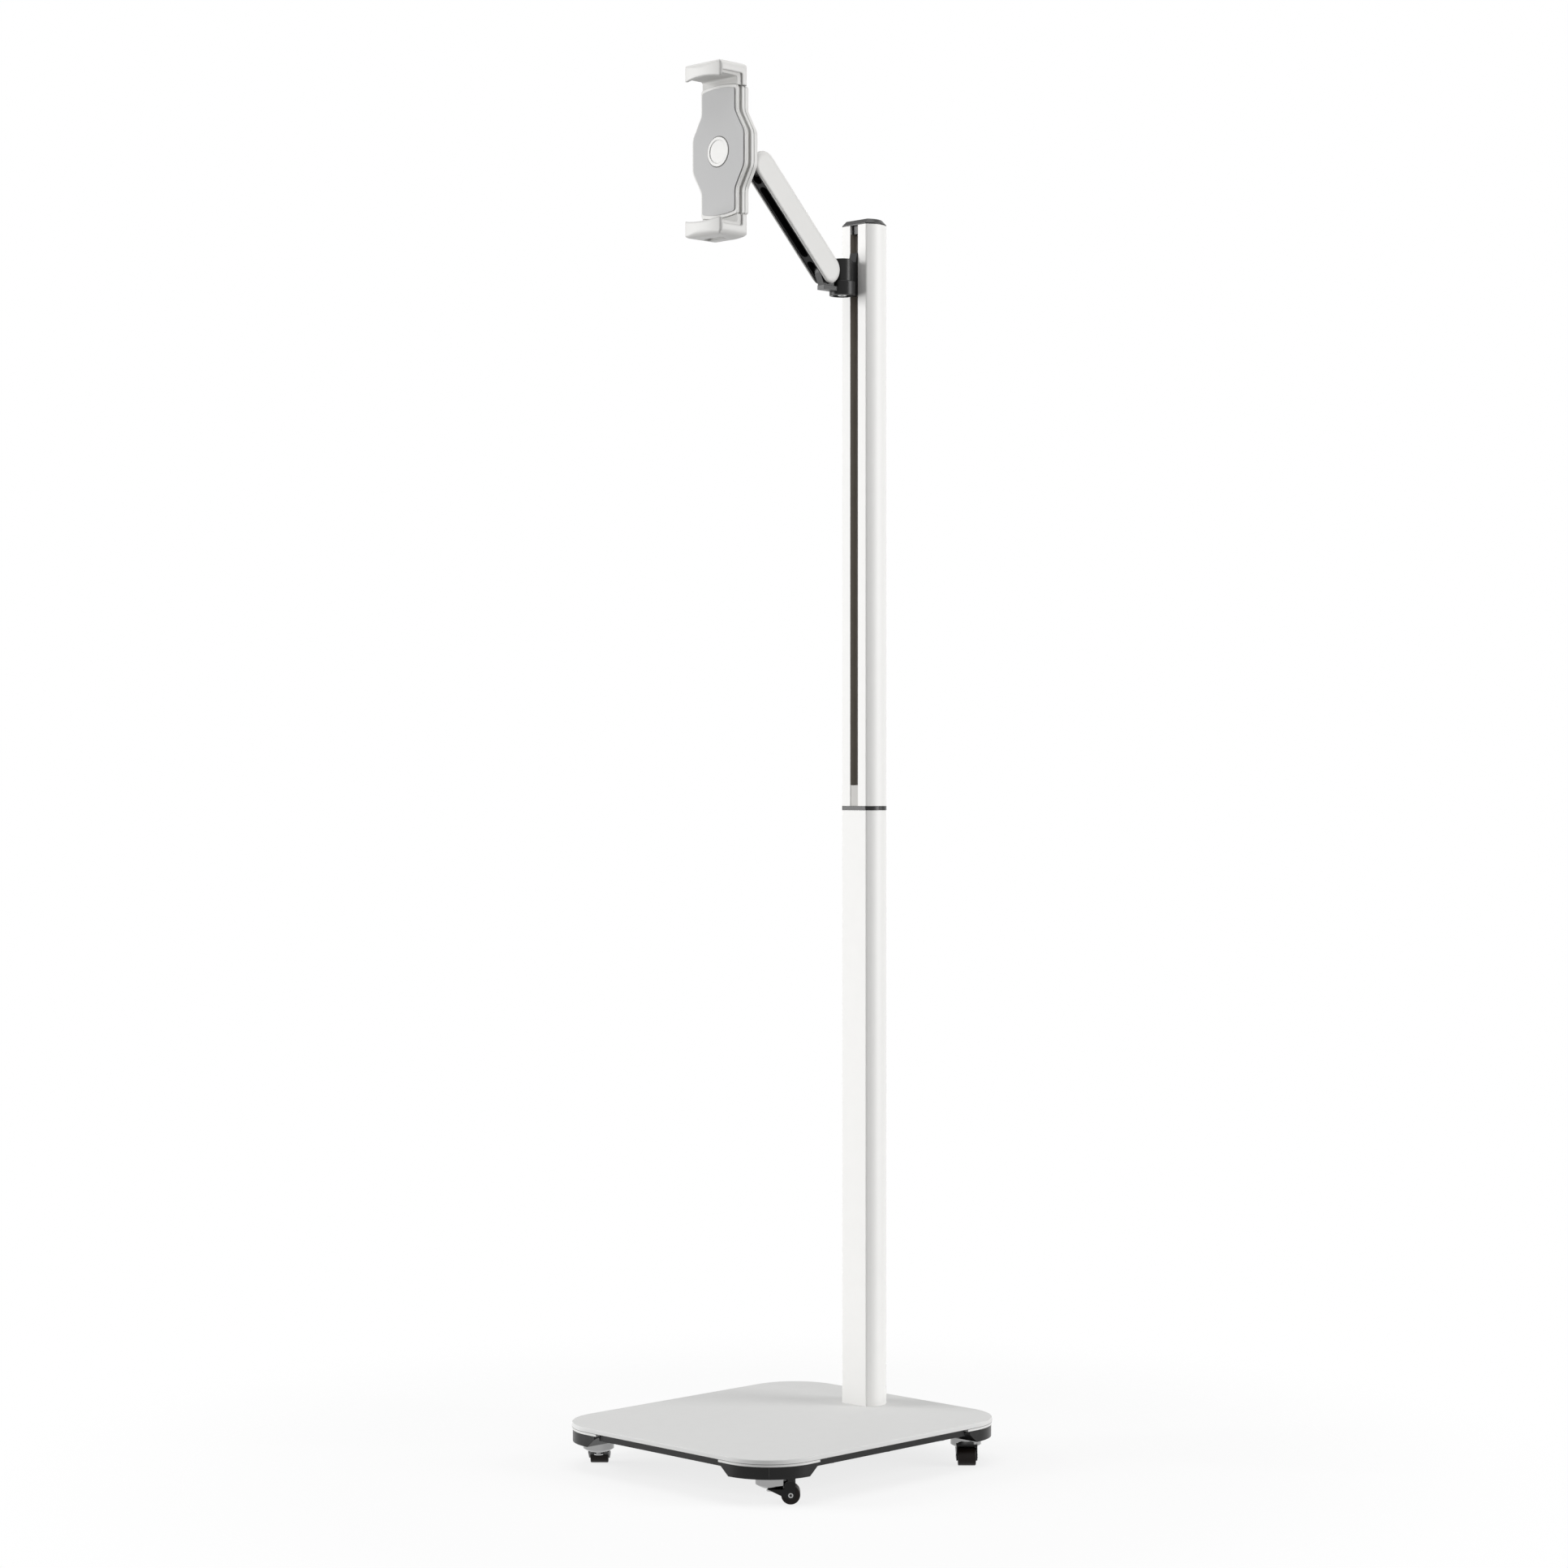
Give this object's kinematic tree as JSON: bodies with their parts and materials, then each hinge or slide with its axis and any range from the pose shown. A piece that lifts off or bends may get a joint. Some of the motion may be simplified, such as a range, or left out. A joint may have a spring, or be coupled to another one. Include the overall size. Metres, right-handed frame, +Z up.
{
  "type": "adjustable tablet floor stand",
  "caption": "Floor stand for a tablet: flat base on small casters, slotted column, sliding carriage, hinged arm and a spring clamp with hooked jaws",
  "frame": {"origin": "on the floor under the middle of the base plate", "axes": "+Z up, -Y front that the clamp faces, +X right as seen from behind"},
  "size_m": [0.343, 0.383, 1.5312],
  "materials": {
    "base_pale": "fine texture, matt",
    "tray_dark": "matt",
    "layer_pale": "matt",
    "bowl_chrome": "bright",
    "fork_black": "satin",
    "wheel_dark": "matt",
    "screw_steel": "satin",
    "column_white": "satin, lacquered",
    "dark_trim": "satin",
    "liner_dark": "matt",
    "plug_pale": "matt",
    "carriage_black": "satin",
    "bracket_grey": "satin",
    "arm_white": "satin",
    "arm_black": "satin",
    "clamp_white": "satin",
    "guide_grey": "matt",
    "pad_grey": "matt",
    "button_white": "satin",
    "core_metal": "as cast"
  },
  "bodies": {
    "base": {"base_plate": "base_pale", "base_screws": "screw_steel", "caster_bowl_front_left": "bowl_chrome", "caster_bowl_front_right": "bowl_chrome", "caster_bowl_rear_left": "bowl_chrome", "caster_bowl_rear_right": "bowl_chrome", "caster_pins": "screw_steel", "column_bolts": "screw_steel", "column_foot": "core_metal", "corner_housing_front_left": "tray_dark", "corner_housing_front_right": "tray_dark", "corner_housing_rear_left": "tray_dark", "corner_housing_rear_right": "tray_dark", "corner_layers": "layer_pale", "joint_collar": "dark_trim", "joint_core": "core_metal", "lower_tube": "column_white", "top_cap": "dark_trim", "track_liner": "liner_dark", "track_plug": "plug_pale", "under_tray": "tray_dark", "upper_tube": "column_white"},
    "caster_front_left": {"caster_fork_front_left": "fork_black", "caster_axle_front_left": "screw_steel"},
    "wheel_front_left": {"caster_wheel_front_left": "wheel_dark"},
    "caster_front_right": {"caster_fork_front_right": "fork_black", "caster_axle_front_right": "screw_steel"},
    "wheel_front_right": {"caster_wheel_front_right": "wheel_dark"},
    "caster_rear_left": {"caster_fork_rear_left": "fork_black", "caster_axle_rear_left": "screw_steel"},
    "wheel_rear_left": {"caster_wheel_rear_left": "wheel_dark"},
    "caster_rear_right": {"caster_fork_rear_right": "fork_black", "caster_axle_rear_right": "screw_steel"},
    "wheel_rear_right": {"caster_wheel_rear_right": "wheel_dark"},
    "carriage": {"carriage": "carriage_black", "carriage_shoes": "carriage_black", "hub_bolt": "screw_steel", "hub_washer": "screw_steel"},
    "hub": {"hub_cup": "carriage_black", "arm_bracket": "bracket_grey"},
    "arm": {"arm_shell": "arm_white", "arm_frame": "arm_black", "elbow_pin": "screw_steel", "wrist_pin": "screw_steel"},
    "head": {"head_knuckle": "bracket_grey", "turn_bolt": "screw_steel"},
    "clamp": {"turn_boss": "carriage_black", "back_shell": "clamp_white", "mid_shell": "clamp_white", "guide_frame": "guide_grey", "front_bezel": "clamp_white", "front_pad": "pad_grey", "jaw_springs": "screw_steel", "clamp_screws": "screw_steel"},
    "upper_jaw": {"upper_jaw": "clamp_white", "upper_jaw_liner": "guide_grey"},
    "lower_jaw": {"lower_jaw": "clamp_white", "lower_jaw_liner": "guide_grey"},
    "button": {"release_button": "button_white"}
  },
  "joints": [
    {"name": "swivel_front_left", "type": "hinge", "parent": "base", "child": "caster_front_left", "pos_m": [-0.135, -0.1515, 0.0155], "axis": [0, 0, 1], "continuous": true},
    {"name": "roll_front_left", "type": "hinge", "parent": "caster_front_left", "child": "wheel_front_left", "pos_m": [-0.14914, -0.13736, 0.01], "axis": [0.7071, 0.7071, 0], "continuous": true},
    {"name": "swivel_front_right", "type": "hinge", "parent": "base", "child": "caster_front_right", "pos_m": [0.135, -0.1515, 0.0155], "axis": [0, 0, 1], "continuous": true},
    {"name": "roll_front_right", "type": "hinge", "parent": "caster_front_right", "child": "wheel_front_right", "pos_m": [0.14914, -0.13736, 0.01], "axis": [0.7071, -0.7071, 0], "continuous": true},
    {"name": "swivel_rear_left", "type": "hinge", "parent": "base", "child": "caster_rear_left", "pos_m": [-0.135, 0.1515, 0.0155], "axis": [0, 0, 1], "continuous": true},
    {"name": "roll_rear_left", "type": "hinge", "parent": "caster_rear_left", "child": "wheel_rear_left", "pos_m": [-0.14914, 0.13736, 0.01], "axis": [-0.7071, 0.7071, 0], "continuous": true},
    {"name": "swivel_rear_right", "type": "hinge", "parent": "base", "child": "caster_rear_right", "pos_m": [0.135, 0.1515, 0.0155], "axis": [0, 0, 1], "continuous": true},
    {"name": "roll_rear_right", "type": "hinge", "parent": "caster_rear_right", "child": "wheel_rear_right", "pos_m": [0.14914, 0.13736, 0.01], "axis": [-0.7071, -0.7071, 0], "continuous": true},
    {"name": "height", "type": "slide", "parent": "base", "child": "carriage", "axis": [0, 0, 1], "range_m": [-0.54, 0.02]},
    {"name": "arm_turn", "type": "hinge", "parent": "carriage", "child": "hub", "pos_m": [0, 0.0943, 1.3147], "axis": [0, 0, 1], "range_deg": [-90, 90]},
    {"name": "arm_pitch", "type": "hinge", "parent": "hub", "child": "arm", "pos_m": [0, 0.066, 1.3255], "axis": [-1, 0, 0], "range_deg": [-45, 35]},
    {"name": "head_pitch", "type": "hinge", "parent": "arm", "child": "head", "pos_m": [0, -0.03582, 1.42732], "axis": [-1, 0, 0], "range_deg": [-45, 35]},
    {"name": "clamp_turn", "type": "hinge", "parent": "head", "child": "clamp", "pos_m": [0, -0.0596, 1.4353], "axis": [0, -1, 0], "range_deg": [-90, 90]},
    {"name": "jaw_up", "type": "slide", "parent": "clamp", "child": "upper_jaw", "axis": [0, 0, 1], "range_m": [0, 0.03], "stiffness_N_per_m": 300, "springref_m": -0.02, "deforming": ["jaw_springs"]},
    {"name": "jaw_down", "type": "slide", "parent": "clamp", "child": "lower_jaw", "axis": [0, 0, -1], "range_m": [0, 0.03], "deforming": ["jaw_springs"]},
    {"name": "button_press", "type": "slide", "parent": "clamp", "child": "button", "axis": [0, 1, 0], "range_m": [0, 0.0015], "stiffness_N_per_m": 800, "springref_m": -0.001}
  ],
  "couplings": [
    {"joint": "jaw_down", "follows": "jaw_up", "ratio": 1}
  ]
}
